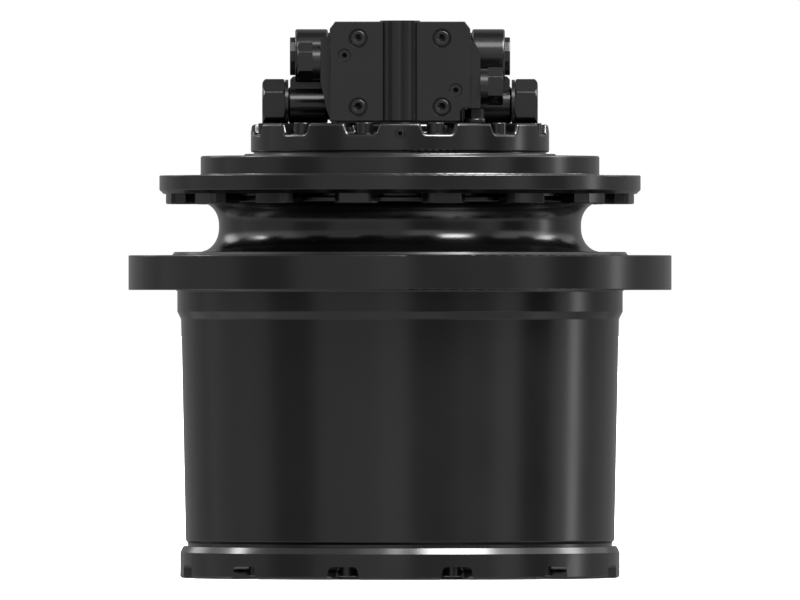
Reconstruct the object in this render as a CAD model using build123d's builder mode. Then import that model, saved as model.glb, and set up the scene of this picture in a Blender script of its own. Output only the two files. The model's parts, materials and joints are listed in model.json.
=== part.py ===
from build123d import *
import os
from math import pi, sin, cos, tan, acos, radians, degrees, sqrt

os.makedirs("parts", exist_ok=True)

# ---------------------------------------------------------------------------
# Frame: millimetres.  Z runs up the drive axis.  Z = 0 is the outer face of the
# hub cover, the motor end is at the top, and the track frame bolts on from above.
# ---------------------------------------------------------------------------

# rotating hub, outside
sprocket_flange_r = 320.0
sprocket_flange_z0 = 339.1
sprocket_flange_z1 = 380.0
sprocket_pilot_r = 262.5
sprocket_pilot_z0 = 313.7
sprocket_bolt_pcd = 585.0
sprocket_bolt_count = 30
sprocket_bolt_hole_r = 11.0
drum_r_low = 252.7
drum_r_high = 258.1
drum_z0 = 40.9
neck_r = 213.0
neck_z = 413.0
hub_rim_r = 238.0
hub_rim_z1 = 449.5

# hub cover
cover_r = 259.1
cover_z1 = 37.4
cover_bolt_r = 236.0
cover_bolt_count = 12
cover_notch_z = 15.0

# stationary side
frame_flange_r = 283.6
frame_face_z = 474.0
frame_flange_z0 = 452.2
frame_pilot_r = 235.0
frame_bolt_pcd = 520.0
frame_bolt_count = 16
frame_bolt_hole_r = 10.5
lug_z0 = 440.4
lug_r_in = 241.6
lug_r_out = 278.4
joint_z = 499.4            # motor cover sits on the spindle here
motor_flange_r = 175.8
motor_tab_z = 535.0
motor_floor_z = 522.4      # floor round the bolts
motor_flange_z0 = 501.2
motor_bolt_r = 161.5
motor_bolt_count = 12
block_half_w = 82.5
block_z0 = 537.0
block_z1 = 654.0
block_y0 = -140.0          # front face of the relief valve block
block_y1 = -92.0           # its bolted face
web_y = 9.5                # half thickness of the cast web between the side bosses
spool_z = 557.0
spool_y = 0.0
check_z = 614.5
check_y = 0.0

# gears: stage 1 is driven by the motor, stage 2 by carrier 1
pressure_angle = radians(25)
m1, sun1_t, planet1_t, ring1_t = 5.0, 12, 33, 78
m2, sun2_t, planet2_t, ring2_t = 6.0, 15, 25, 65
c1 = (sun1_t + planet1_t) * m1 / 2      # centre distance, stage 1
c2 = (sun2_t + planet2_t) * m2 / 2      # centre distance, stage 2
backlash = 0.30                          # taken off each tooth at the pitch circle, per side
ring_outer_r = 222.0
gears1_z0, gears1_z1 = 50.0, 94.0
gears2_z0, gears2_z1 = 130.0, 206.0
planet1_angles = [90.0, 210.0, 330.0]
planet2_angles = [45.0, 135.0, 225.0, 315.0]

# bearings
journal_r = 145.0
main_bearing_od_r = 188.0
main_roller_r = 9.7
main_roller_mid_r = 166.5
main_roller_tilt = 14.0
main_roller_count = 36
gap = 0.3                                # between a roller and its races


# ---------------------------------------------------------------------------
# Outlines shared by several pieces
# ---------------------------------------------------------------------------

def half_section(points):
    """Closed (r, z) outline on the XZ plane, to be revolved about Z."""
    with BuildSketch(Plane.XZ) as section:
        with BuildLine():
            Polyline(*points, close=True)
        make_face()
    return section.sketch


def rounded_section(points, rounds):
    """Closed (r, z) outline on the XZ plane with the corners named in rounds rounded, to be revolved about Z."""
    with BuildSketch(Plane.XZ) as section:
        with BuildLine():
            Polyline(*points, close=True)
        make_face()
        for (r, z), radius in rounds:
            corner = min(section.vertices(), key=lambda v: (v.X - r) ** 2 + (v.Y - z) ** 2)
            fillet(corner, radius)
    return section.sketch


def flat_outline(points, height):
    """Closed (x, y) outline on a horizontal plane at the given height."""
    with BuildSketch(Plane.XY.offset(height)) as outline:
        with BuildLine():
            Polyline(*points, close=True)
        make_face()
    return outline.sketch


def polar(r, angle, centre=(0.0, 0.0)):
    return (centre[0] + r * cos(angle), centre[1] + r * sin(angle))


def gear_outline(teeth, module, addendum, dedendum, thinning, phase, centre=(0.0, 0.0)):
    """Involute gear outline, flanks in straight facets, one tooth centred on phase."""
    pitch = teeth * module / 2
    base = pitch * cos(pressure_angle)
    tip, root = pitch + addendum, pitch - dedendum
    involute = lambda a: tan(a) - a
    half = pi / (2 * teeth) - thinning / pitch
    start = max(root, base)
    radii = [start + (tip - start) * k / 4 for k in range(5)]
    if root < base - 0.05:
        radii = [root] + radii
    points = []
    for k in range(teeth):
        mid = phase + 2 * pi * k / teeth
        flank = []
        for r in radii:
            a = acos(min(1.0, base / max(r, base)))
            flank.append((r, half + involute(pressure_angle) - involute(a)))
        points += [polar(r, mid - w, centre) for r, w in flank]
        points += [polar(r, mid + w, centre) for r, w in reversed(flank)]
    return points


def spline_outline(count, r_in, r_out, share=0.5, slope=0.12):
    """Straight-sided spline outline, tooth tips at r_out."""
    step = 2 * pi / count
    points = []
    for k in range(count):
        mid = k * step
        points += [polar(r_in, mid - step * (share / 2 + slope / 2)),
                   polar(r_out, mid - step * (share / 2 - slope / 2)),
                   polar(r_out, mid + step * (share / 2 - slope / 2)),
                   polar(r_in, mid + step * (share / 2 + slope / 2))]
    return points


def planet_phase(angle, sun_teeth, planet_teeth):
    """Turn of a planet that puts a gap against the sun's tooth on their centre line."""
    a = (angle * sun_teeth / (2 * pi)) % 1.0
    return angle + pi - (0.5 - a) * 2 * pi / planet_teeth


def ring_phase(angle, phase, planet_teeth, ring_teeth):
    """Turn of the ring that puts one of its gaps on the planet's outer tooth."""
    d = ((angle - phase) * planet_teeth / (2 * pi)) % 1.0
    return angle - d * 2 * pi / ring_teeth


def tilted_section(points, mid_r, mid_z, tilt):
    """(across, along) points about a roller's centre, turned into (r, z)."""
    t = radians(tilt)
    return [(mid_r + u * cos(t) + v * sin(t), mid_z - u * sin(t) + v * cos(t)) for u, v in points]


# ---------------------------------------------------------------------------
# Stationary side
# ---------------------------------------------------------------------------

spindle_outline = [
    (52, 212), (96.5, 212), (98, 213.5), (98, 240), (141, 240), (141, 261), (journal_r, 263),
    (journal_r, 424), (166, 424), (166, 455.5), (202, 455.5), (202, 444), (212, 444), (212, 455.5),
    (240.0, 455.5), (240.0, frame_flange_z0), (278.6, frame_flange_z0),
    (frame_flange_r, 456.9), (frame_flange_r, frame_face_z),
    (frame_pilot_r, frame_face_z), (frame_pilot_r, 497.0),
    (183.4, 497.0), (183.4, joint_z), (118, joint_z), (118, 440), (106, 440), (106, 284),
    (60, 284), (60, 252), (40, 252), (40, 250), (50, 250), (50, 238), (52, 238)]

spindle_rounds = [
    ((278.6, frame_flange_z0), 1.2), ((frame_flange_r, 456.9), 1.6), ((frame_flange_r, frame_face_z), 1.2),
    ((frame_pilot_r, frame_face_z), 1.8), ((frame_pilot_r, 497.0), 2.4), ((183.4, 497.0), 1.2),
    ((183.4, joint_z), 1.0)]

with BuildPart(mode=Mode.PRIVATE) as lug:
    with BuildSketch(Plane.XY.offset(lug_z0)):
        with BuildLine():
            Polyline((lug_r_in, -23.5), (262.5, -25.5), (273.0, -20.5), (277.6, -17.3))
            ThreePointArc((277.6, -17.3), (lug_r_out, 0), (277.6, 17.3))
            Polyline((277.6, 17.3), (273.0, 20.5), (262.5, 25.5), (lug_r_in, 23.5), (lug_r_in, -23.5))
        make_face()
    extrude(amount=frame_flange_z0 + 1.0 - lug_z0)
    fillet(lug.edges().filter_by(Axis.Z), 2.0)
    fillet(lug.faces().sort_by(Axis.Z)[0].edges(), 1.5)

with BuildPart() as spindle:
    revolve(rounded_section(spindle_outline, spindle_rounds), axis=Axis.Z)
    # sixteen lugs under the frame flange, each carrying one tapped bolt hole
    with PolarLocations(0, frame_bolt_count, start_angle=11.25):
        add(lug.part)
    with BuildSketch(Plane.XY.offset(frame_face_z)):
        with PolarLocations(frame_bolt_pcd / 2, frame_bolt_count, start_angle=11.25):
            Circle(frame_bolt_hole_r)
    extrude(amount=-(frame_face_z - lug_z0 + 1), mode=Mode.SUBTRACT)
    # motor cover bolt holes
    with BuildSketch(Plane.XY.offset(joint_z)):
        with PolarLocations(motor_bolt_r, motor_bolt_count, start_angle=15):
            Circle(7.1)
    extrude(amount=-32, mode=Mode.SUBTRACT)
    # spline for the fixed brake plates
    extrude(flat_outline(spline_outline(24, 118, 123), 440), amount=26, mode=Mode.SUBTRACT)
    # spline for carrier 2 on the nose
    with BuildSketch(Plane.XY.offset(211)) as nose_spline:
        Circle(99)
        add(flat_outline(spline_outline(30, 94.5, 98.2), 0), mode=Mode.SUBTRACT)
    extrude(amount=28, mode=Mode.SUBTRACT)
spindle.part.label = "spindle"
export_step(spindle.part, "parts/spindle.step")

# -- motor cover ------------------------------------------------------------
with BuildPart(mode=Mode.PRIVATE) as cover_pocket:
    # pocket round one motor cover bolt, open to the rim
    with BuildSketch(Plane(origin=(143, 0, 0), x_dir=(0, 1, 0), z_dir=(1, 0, 0))) as pocket_face:
        with BuildLine():
            Polyline((-16.6, motor_floor_z), (16.6, motor_floor_z), (24.4, 542), (-24.4, 542), close=True)
        make_face()
        fillet(pocket_face.vertices().group_by(Axis.Y)[0], 5.0)
    extrude(amount=46)
    fillet(cover_pocket.edges().filter_by(Axis.Z, tolerance=22).group_by(Axis.X)[0], 3.4)


def out_from_axis(e):
    return sqrt(e.center().X ** 2 + e.center().Y ** 2)


with BuildPart(mode=Mode.PRIVATE) as side_bosses:
    # round barrels along X: the lower pair holds the spool, the larger pair above it the check valves
    for z, r, x_out, r_core in ((spool_z, 21.5, 131.5, 17.5), (check_z, 32.0, 123.5, 28.0)):
        with BuildSketch(Plane.YZ.offset(-x_out)):
            with Locations((0, z)):
                Circle(r)
        extrude(amount=x_out - 85.0)
        with BuildSketch(Plane.YZ.offset(85.0)):
            with Locations((0, z)):
                Circle(r)
        extrude(amount=x_out - 85.0)
    fillet(side_bosses.edges().filter_by(GeomType.CIRCLE), 2.6)
    for z, r, x_out, r_core in ((spool_z, 21.5, 131.5, 17.5), (check_z, 32.0, 123.5, 28.0)):
        with BuildSketch(Plane.YZ.offset(-100)):
            with Locations((0, z)):
                Circle(r_core)
        extrude(amount=200)
    # cast web between them on each side
    with BuildSketch(Plane.XZ.offset(web_y)):
        with BuildLine():
            Polyline((-129.5, spool_z), (-129.5, 587.0), (-126.0, 590.8), (-118, 591.2), (-86, 606),
                     (-86, spool_z), close=True)
        make_face()
        with BuildLine():
            Polyline((129.5, spool_z), (129.5, 587.0), (126.0, 590.8), (118, 591.2), (86, 606),
                     (86, spool_z), close=True)
        make_face()
    extrude(amount=-2 * web_y)

with BuildPart() as motor_cover:
    revolve(rounded_section([(42.05, motor_flange_z0), (motor_flange_r, motor_flange_z0),
                             (motor_flange_r, motor_tab_z), (42.05, motor_tab_z)],
                            [((motor_flange_r, motor_flange_z0), 2.4)]), axis=Axis.Z)
    with PolarLocations(0, motor_bolt_count, start_angle=15):
        add(cover_pocket.part, mode=Mode.SUBTRACT)
    # pocket walls roll over into the top face, then one rounding runs along the whole wavy rim
    fillet([e for e in motor_cover.edges()
            if abs(e.center().Z - motor_tab_z) < 0.01 and out_from_axis(e) < motor_flange_r - 1.5], 4.5)
    fillet([e for e in motor_cover.edges()
            if e.center().Z > motor_floor_z - 1 and abs(out_from_axis(e) - motor_flange_r) < 2.2], 4.0)
    with BuildSketch(Plane.XY.offset(joint_z)):
        Circle(172.4)
    extrude(amount=motor_flange_z0 + 1.0 - joint_z)
    # seat of the shaft's end bearing
    with BuildSketch(Plane.XY.offset(joint_z)):
        Circle(42.05)
    extrude(amount=524 - joint_z, mode=Mode.SUBTRACT)
    # valve body above the flange
    with BuildSketch(Plane.XY.offset(530)):
        with Locations((0, (100 + block_y1) / 2)):
            RectangleRounded(162, 100 - block_y1, 16)
    extrude(amount=112)
    fillet(motor_cover.faces().sort_by(Axis.Z)[-1].edges(), 6.0)
    # spool and check valve bosses with their webs
    add(side_bosses.part)
    # room in the flange for the hexagon caps
    for side in (-1, 1):
        with BuildSketch(Plane.YZ.offset(side * 131.5)):
            with Locations((spool_y, spool_z)):
                Circle(32.5)
        extrude(amount=side * 46, mode=Mode.SUBTRACT)
    # pads for the two main ports at the back, and for the small ports between them
    with BuildSketch(Plane.XZ.offset(-96)):
        with Locations((-46, 590), (46, 590)):
            RectangleRounded(62, 94, 12)
    extrude(amount=-10)
    with BuildSketch(Plane.XZ.offset(-106)):
        with Locations((-46, 590), (46, 590)):
            Circle(16)
    extrude(amount=70, mode=Mode.SUBTRACT)
    with BuildSketch(Plane.XZ.offset(-106)):
        for x in (-46, 46):
            with Locations((x, 590)):
                with GridLocations(31.8, 66.7, 2, 2):
                    Circle(6.0)
    extrude(amount=26, mode=Mode.SUBTRACT)
    # spool bore and its caps' threads
    with BuildSketch(Plane.YZ.offset(-131.5)):
        with Locations((spool_y, spool_z)):
            Circle(13.05)
    extrude(amount=263, mode=Mode.SUBTRACT)
    for side in (-1, 1):
        with BuildSketch(Plane.YZ.offset(side * 131.5)):
            with Locations((spool_y, spool_z)):
                Circle(16.1)
        extrude(amount=-side * 31.5, mode=Mode.SUBTRACT)
        with BuildSketch(Plane.YZ.offset(side * 123.5)):
            with Locations((check_y, check_z)):
                Circle(15.1)
        extrude(amount=-side * 32, mode=Mode.SUBTRACT)
    # spot face on the check valve boss for the speed-selector pilot port
    with BuildSketch(Plane.XY.offset(642)):
        with Locations((0, 10)):
            Circle(11.5)
    extrude(amount=8, mode=Mode.SUBTRACT)
    # drain port on the top face, pilot port beside it
    with BuildSketch(Plane.XY.offset(642)):
        with Locations((0, 62)):
            Circle(15)
        with Locations((0, 10)):
            Circle(6.6)
    extrude(amount=-24, mode=Mode.SUBTRACT)
    # relief valve block screws enter here
    with BuildSketch(Plane.XZ.offset(-block_y1)):
        with Locations((-49, 634.2), (49, 634.2), (-49, 553.5), (49, 553.5)):
            Circle(6.1)
    extrude(amount=-24, mode=Mode.SUBTRACT)
    # bolt holes
    with BuildSketch(Plane.XY.offset(joint_z)):
        with PolarLocations(motor_bolt_r, motor_bolt_count, start_angle=15):
            Circle(7.6)
    extrude(amount=24, mode=Mode.SUBTRACT)
    # small tapped hole in the flange's rim for the case plug
    with BuildSketch(Plane.XZ.offset(motor_flange_r + 1)):
        with Locations((0, 522.4)):
            Circle(5.6)
    extrude(amount=-16, mode=Mode.SUBTRACT)
motor_cover.part.label = "motor_cover"
export_step(motor_cover.part, "parts/motor_cover.step")

with BuildPart() as motor_cover_bolts:
    with BuildSketch(Plane.XY.offset(motor_floor_z)):
        with PolarLocations(motor_bolt_r, motor_bolt_count, start_angle=15):
            Circle(10.8)
    extrude(amount=13.1)
    fillet(motor_cover_bolts.faces().filter_by(Axis.Z).group_by(Axis.Z)[-1].edges(), 1.2)
    with BuildSketch(Plane.XY.offset(motor_floor_z + 13.1)):
        with PolarLocations(motor_bolt_r, motor_bolt_count, start_angle=15):
            RegularPolygon(6.0, 6, major_radius=False)
    extrude(amount=-8, mode=Mode.SUBTRACT)
    with BuildSketch(Plane.XY.offset(motor_floor_z)):
        with PolarLocations(motor_bolt_r, motor_bolt_count, start_angle=15):
            Circle(7.0)
    extrude(amount=-52.4)
motor_cover_bolts.part.label = "motor_cover_bolts"
export_step(motor_cover_bolts.part, "parts/motor_cover_bolts.step")

# -- relief valve block on the front of the motor cover -----------------------
with BuildPart() as valve_block:
    with BuildSketch(Plane.XZ.offset(-block_y1)):
        with BuildLine():
            Polyline((-block_half_w, block_z0), (70.5, block_z0), (70.5, 549.0), (73.9, 552.4),
                     (94.3, 552.4), (94.3, 617.0), (87.0, 631.0), (block_half_w, 631.0),
                     (block_half_w, 645.5), (76.0, block_z1), (-76.0, block_z1),
                     (-block_half_w, 645.5), (-block_half_w, 636.4), (-93.3, 636.4),
                     (-93.3, 584.0), (-86.5, 552.0), (-block_half_w, 541.0), close=True)
        make_face()
    extrude(amount=block_y1 - block_y0)
    # wings stand back from the front face
    with BuildSketch(Plane.XZ.offset(-block_y0)):
        with Locations((-93.3 - 6.7, 595), (94.3 + 6.7, 595)):
            Rectangle(13.4 + 2 * 11.0, 150)
    extrude(amount=-9.0, mode=Mode.SUBTRACT)
    fillet([e for e in valve_block.edges() if abs(e.center().Y - block_y0) < 0.01], 1.0)
    # half-round cored passage down the middle of the front face
    with BuildSketch(Plane.XY.offset(block_z0 + 1.0)):
        with Locations((0, block_y0 + 12.0)):
            Circle(23.5)
    extrude(amount=block_z1 + 1.2 - block_z0 - 1.0)
    # counterbored screw holes
    with BuildSketch(Plane.XZ.offset(-block_y0)):
        with Locations((-49, 634.2), (49, 634.2), (-49, 553.5), (49, 553.5)):
            Circle(10.6)
    extrude(amount=-13, mode=Mode.SUBTRACT)
    with BuildSketch(Plane.XZ.offset(-block_y0)):
        with Locations((-49, 634.2), (49, 634.2), (-49, 553.5), (49, 553.5)):
            Circle(6.6)
        with Locations((-65.2, 614.3), (65.4, 573.6)):
            Circle(7.0)
    extrude(amount=-14, mode=Mode.SUBTRACT)
    chamfer([e for e in valve_block.edges().filter_by(GeomType.CIRCLE)
             if abs(e.center().Y - block_y0) < 0.01 and e.radius < 10.7], 0.8)
    with BuildSketch(Plane.XZ.offset(-block_y0)):
        with Locations((-49, 634.2), (49, 634.2), (-49, 553.5), (49, 553.5)):
            Circle(6.6)
    extrude(amount=-60, mode=Mode.SUBTRACT)
    # cartridge bores for the two relief valves, from each end
    with BuildSketch(Plane.YZ.offset(-110)):
        with Locations((-116, 607.3)):
            Circle(12.1)
    extrude(amount=82, mode=Mode.SUBTRACT)
    with BuildSketch(Plane.YZ.offset(110)):
        with Locations((-116, 578.2)):
            Circle(12.1)
    extrude(amount=-82, mode=Mode.SUBTRACT)
valve_block.part.label = "valve_block"
export_step(valve_block.part, "parts/valve_block.step")

with BuildPart() as valve_block_screws:
    with BuildSketch(Plane.XZ.offset(-(block_y0 + 12.9))):
        with Locations((-49, 634.2), (49, 634.2), (-49, 553.5), (49, 553.5)):
            Circle(9.2)
    extrude(amount=11.5)
    fillet(valve_block_screws.faces().sort_by(Axis.Y)[:4].edges(), 1.4)
    with BuildSketch(Plane.XZ.offset(-(block_y0 + 1.4))):
        with Locations((-49, 634.2), (49, 634.2), (-49, 553.5), (49, 553.5)):
            RegularPolygon(5.0, 6, major_radius=False)
    extrude(amount=-6, mode=Mode.SUBTRACT)
    with BuildSketch(Plane.XZ.offset(-(block_y0 + 12.9))):
        with Locations((-49, 634.2), (49, 634.2), (-49, 553.5), (49, 553.5)):
            Circle(6.0)
    extrude(amount=-56)
valve_block_screws.part.label = "valve_block_screws"
export_step(valve_block_screws.part, "parts/valve_block_screws.step")

with BuildPart() as relief_valves:
    for side, z, reach in ((-1, 607.3, 93.3), (1, 578.2, 94.3)):
        with BuildSketch(Plane.YZ.offset(side * (reach + 0.2))):
            with Locations((-116, z)):
                Circle(20.6)
        extrude(amount=side * 9.0)
        with BuildSketch(Plane.YZ.offset(side * (reach + 9.2))):
            with Locations((-116, z)):
                RegularPolygon(19.5, 6, major_radius=False, rotation=30)
        extrude(amount=side * 17.6)
        fillet([e for e in relief_valves.edges().filter_by(Axis.X)
                if e.length > 17 and side * e.center().X > reach + 9.5
                and sqrt((e.center().Y + 116) ** 2 + (e.center().Z - z) ** 2) > 21], 1.4)
        with BuildSketch(Plane.YZ.offset(side * (reach + 0.2))):
            with Locations((-116, z)):
                Circle(12.0)
        extrude(amount=-side * 62)
    # turned chamfer on the hexagons' corners at their outer ends
    for side, z, reach in ((-1, 607.3, 93.3), (1, 578.2, 94.3)):
        end = side * (reach + 26.9)
        with BuildSketch(Plane.XZ.offset(116), mode=Mode.PRIVATE) as corner:
            with BuildLine():
                Polyline((end, z + 19.6), (end - side * 2.2, z + 23.4), (end, z + 23.4), close=True)
            make_face()
        revolve(corner.sketch, axis=Axis(origin=(0, -116, z), direction=(1, 0, 0)), mode=Mode.SUBTRACT)
relief_valves.part.label = "relief_valves"
export_step(relief_valves.part, "parts/relief_valves.step")

with BuildPart() as gallery_plugs:
    for x, z in ((-65.2, 614.3), (65.4, 573.6)):
        with BuildSketch(Plane.XZ.offset(-(block_y0 + 12))):
            with Locations((x, z)):
                Circle(6.9)
        extrude(amount=10.8)
        with BuildSketch(Plane.XZ.offset(-(block_y0 + 1.2))):
            with Locations((x, z)):
                RegularPolygon(3.0, 6, major_radius=False)
        extrude(amount=-6, mode=Mode.SUBTRACT)
    with BuildSketch(Plane.XZ.offset(motor_flange_r - 12)):
        with Locations((0, 522.4)):
            Circle(5.5)
    extrude(amount=11.5)
    fillet(gallery_plugs.edges().filter_by(GeomType.CIRCLE).sort_by(Axis.Y)[0], 0.8)
    with BuildSketch(Plane.XZ.offset(motor_flange_r - 0.5)):
        with Locations((0, 522.4)):
            RegularPolygon(2.6, 6, major_radius=False)
    extrude(amount=-5, mode=Mode.SUBTRACT)
    # hexagon plug with a collar standing on the flange, beside the block
    with BuildSketch(Plane.XY.offset(motor_tab_z + 0.05)):
        with Locations((87.3, -112)):
            Circle(13)
    extrude(amount=5.4)
    fillet([e for e in gallery_plugs.edges().filter_by(GeomType.CIRCLE)
            if e.radius > 12.9], 1.6)
    with BuildSketch(Plane.XY.offset(motor_tab_z + 5.4)):
        with Locations((87.3, -112)):
            RegularPolygon(10.0, 6, major_radius=False, rotation=12)
    extrude(amount=11.0)
gallery_plugs.part.label = "gallery_plugs"
export_step(gallery_plugs.part, "parts/gallery_plugs.step")

# -- counterbalance spool, its springs and hexagon caps -----------------------
with BuildPart() as counterbalance_spool:
    with BuildSketch(Plane.XZ.offset(-spool_y)):
        with BuildLine():
            Polyline((-96, spool_z), (-96, spool_z + 5), (-84, spool_z + 5), (-84, spool_z + 13),
                     (-52, spool_z + 13), (-52, spool_z + 8), (-34, spool_z + 8), (-34, spool_z + 13),
                     (-12, spool_z + 13), (-12, spool_z + 8), (12, spool_z + 8), (12, spool_z + 13),
                     (34, spool_z + 13), (34, spool_z + 8), (52, spool_z + 8), (52, spool_z + 13),
                     (84, spool_z + 13), (84, spool_z + 5), (96, spool_z + 5), (96, spool_z), close=True)
        make_face()
    revolve(axis=Axis(origin=(0, spool_y, spool_z), direction=(1, 0, 0)))
counterbalance_spool.part.label = "counterbalance_spool"
export_step(counterbalance_spool.part, "parts/counterbalance_spool.step")

with BuildPart() as spool_caps:
    for side in (-1, 1):
        with BuildSketch(Plane.YZ.offset(side * 131.6)):
            with Locations((spool_y, spool_z)):
                Circle(30.0)
        extrude(amount=side * 4.0)
        with BuildSketch(Plane.YZ.offset(side * 135.4)):
            with Locations((spool_y, spool_z)):
                RegularPolygon(27.0, 6, major_radius=False, rotation=30)
        extrude(amount=side * 26.9)
        fillet([e for e in spool_caps.edges().filter_by(Axis.X)
                if e.length > 26 and side * e.center().X > 136], 2.8)
        with BuildSketch(Plane.YZ.offset(side * 131.6)):
            with Locations((spool_y, spool_z)):
                Circle(16.0)
        extrude(amount=-side * 24)
        # the spring's pocket
        with BuildSketch(Plane.YZ.offset(side * 107.0)):
            with Locations((spool_y, spool_z)):
                Circle(12.2)
        extrude(amount=side * 32, mode=Mode.SUBTRACT)
    # turned chamfer on the hexagon corners, outer and inner ends
    with BuildSketch(Plane.XZ.offset(-spool_y), mode=Mode.PRIVATE) as corner_ring:
        for side in (-1, 1):
            with BuildLine():
                ThreePointArc((side * 162.5, spool_z + 24.8), (side * 160.6, spool_z + 28.9),
                              (side * 155.0, spool_z + 32.0))
                Polyline((side * 155.0, spool_z + 32.0), (side * 162.5, spool_z + 32.0),
                         (side * 162.5, spool_z + 24.8))
            make_face()
            with BuildLine():
                ThreePointArc((side * 135.3, spool_z + 26.6), (side * 136.4, spool_z + 29.4),
                              (side * 139.4, spool_z + 32.0))
                Polyline((side * 139.4, spool_z + 32.0), (side * 135.3, spool_z + 32.0),
                         (side * 135.3, spool_z + 26.6))
            make_face()
    revolve(corner_ring.sketch, axis=Axis(origin=(0, spool_y, spool_z), direction=(1, 0, 0)),
            mode=Mode.SUBTRACT)
spool_caps.part.label = "spool_caps"
export_step(spool_caps.part, "parts/spool_caps.step")

with BuildPart() as spool_springs:
    for side in (-1, 1):
        with BuildLine() as coil:
            Helix(pitch=6.0, height=27.0, radius=9.0, center=(side * 109.0, spool_y, spool_z),
                  direction=(side, 0, 0))
        with BuildSketch(Plane(origin=coil.line @ 0, z_dir=coil.line % 0)):
            Circle(1.5)
        sweep(path=coil.line)
spool_springs.part.label = "spool_springs"
export_step(spool_springs.part, "parts/spool_springs.step")

with BuildPart() as check_valve_caps:
    for side in (-1, 1):
        with BuildSketch(Plane.YZ.offset(side * 123.6)):
            with Locations((check_y, check_z)):
                RegularPolygon(23.1, 12, major_radius=True, rotation=15)
        extrude(amount=side * 6.1)
        fillet((check_valve_caps.faces().sort_by(Axis.X)[-1 if side > 0 else 0]).edges(), 1.2)
        with BuildSketch(Plane.YZ.offset(side * 129.7)):
            with Locations((check_y, check_z)):
                RegularPolygon(7.0, 6, major_radius=False)
        extrude(amount=-side * 5, mode=Mode.SUBTRACT)
        with BuildSketch(Plane.YZ.offset(side * 123.6)):
            with Locations((check_y, check_z)):
                Circle(15.0)
        extrude(amount=-side * 24)
check_valve_caps.part.label = "check_valve_caps"
export_step(check_valve_caps.part, "parts/check_valve_caps.step")

# -- fixed parts of the motor inside the spindle -------------------------------
with BuildPart() as valve_plate:
    revolve(half_section([(31, 489.2), (78, 489.2), (78, 499.2), (31, 499.2)]), axis=Axis.Z)
    with BuildSketch(Plane.XY.offset(489)):
        with Locations((0, 0)):
            SlotArc(CenterArc((0, 0), 56, 20, 140), 12)
            SlotArc(CenterArc((0, 0), 56, 200, 140), 12)
    extrude(amount=11, mode=Mode.SUBTRACT)
valve_plate.part.label = "valve_plate"
export_step(valve_plate.part, "parts/valve_plate.step")

with BuildPart() as swash_plate:
    with BuildSketch(Plane.XY.offset(302)):
        Circle(94)
        Circle(38, mode=Mode.SUBTRACT)
    extrude(amount=15.8)
    # cradle runners the plate tilts on
    with BuildSketch(Plane.YZ.offset(-86)) as runner:
        with Locations((0, 330)):
            Circle(46)
        with Locations((0, 360)):
            Rectangle(140, 112, mode=Mode.SUBTRACT)
    extrude(amount=30)
    with BuildSketch(Plane.YZ.offset(56)) as runner_b:
        with Locations((0, 330)):
            Circle(46)
        with Locations((0, 360)):
            Rectangle(140, 112, mode=Mode.SUBTRACT)
    extrude(amount=30)
swash_plate.part.label = "swash_plate"
export_step(swash_plate.part, "parts/swash_plate.step")

with BuildPart() as brake_plates:
    for k in range(4):
        with BuildSketch(Plane.XY.offset(440.2 + 6.6 * k)):
            add(flat_outline(spline_outline(24, 117.6, 122.6, 0.46), 0))
            Circle(88, mode=Mode.SUBTRACT)
        extrude(amount=3.0)
brake_plates.part.label = "brake_plates"
export_step(brake_plates.part, "parts/brake_plates.step")

with BuildPart() as brake_springs:
    with BuildLine() as brake_coil:
        Helix(pitch=4.6, height=18.0, radius=4.6, center=(104.5, 0, 479.0))
    with BuildSketch(Plane(origin=brake_coil.line @ 0, z_dir=brake_coil.line % 0)):
        Circle(1.0)
    sweep(path=brake_coil.line)
    one_spring = brake_springs.part
with BuildPart() as brake_spring_set:
    with PolarLocations(0, 10):
        add(one_spring)
brake_spring_set.part.label = "brake_springs"
export_step(brake_spring_set.part, "parts/brake_springs.step")

with BuildPart() as shaft_seal:
    revolve(half_section([(40.5, 238.3), (49.9, 238.3), (49.9, 249.8), (33.5, 249.8), (32.3, 246.5),
                          (34.5, 243.5), (36.0, 247.6), (40.5, 247.6)]), axis=Axis.Z)
shaft_seal.part.label = "shaft_seal"
export_step(shaft_seal.part, "parts/shaft_seal.step")

with BuildPart() as shaft_bearing_outer_rings:
    revolve(half_section([(52.6, 252.2), (60, 252.2), (60, 282), (52.6, 282)]), axis=Axis.Z)
    revolve(half_section([(37.3, 501), (42.0, 501), (42.0, 521), (37.3, 521)]), axis=Axis.Z)
shaft_bearing_outer_rings.part.label = "shaft_bearing_outer_rings"
export_step(shaft_bearing_outer_rings.part, "parts/shaft_bearing_outer_rings.step")

# -- main bearings --------------------------------------------------------------
upper_z, lower_z = 404.0, 282.0
inner_side = -(main_roller_r + gap)
outer_side = main_roller_r + gap

def bearing_ring(mid_z, tilt, inner):
    """Cone (inner) or cup (outer) of a main bearing, as an (r, z) outline."""
    t = radians(tilt)
    off = inner_side if inner else outer_side
    along = lambda z: main_roller_mid_r + (z - mid_z) * tan(t) + off / cos(t)
    z0, z1 = mid_z - 19.8, mid_z + 19.8
    if inner:
        return [(journal_r, z0), (along(z0), z0), (along(z1), z1), (journal_r, z1)]
    return [(along(z0), z0), (main_bearing_od_r, z0), (main_bearing_od_r, z1), (along(z1), z1)]

with BuildPart() as main_bearing_inner_rings:
    revolve(half_section(bearing_ring(upper_z, -main_roller_tilt, True)), axis=Axis.Z)
    revolve(half_section(bearing_ring(lower_z, main_roller_tilt, True)), axis=Axis.Z)
main_bearing_inner_rings.part.label = "main_bearing_inner_rings"
export_step(main_bearing_inner_rings.part, "parts/main_bearing_inner_rings.step")

with BuildPart() as main_bearing_outer_rings:
    revolve(half_section(bearing_ring(upper_z, -main_roller_tilt, False)), axis=Axis.Z)
    revolve(half_section(bearing_ring(lower_z, main_roller_tilt, False)), axis=Axis.Z)
main_bearing_outer_rings.part.label = "main_bearing_outer_rings"
export_step(main_bearing_outer_rings.part, "parts/main_bearing_outer_rings.step")

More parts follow.
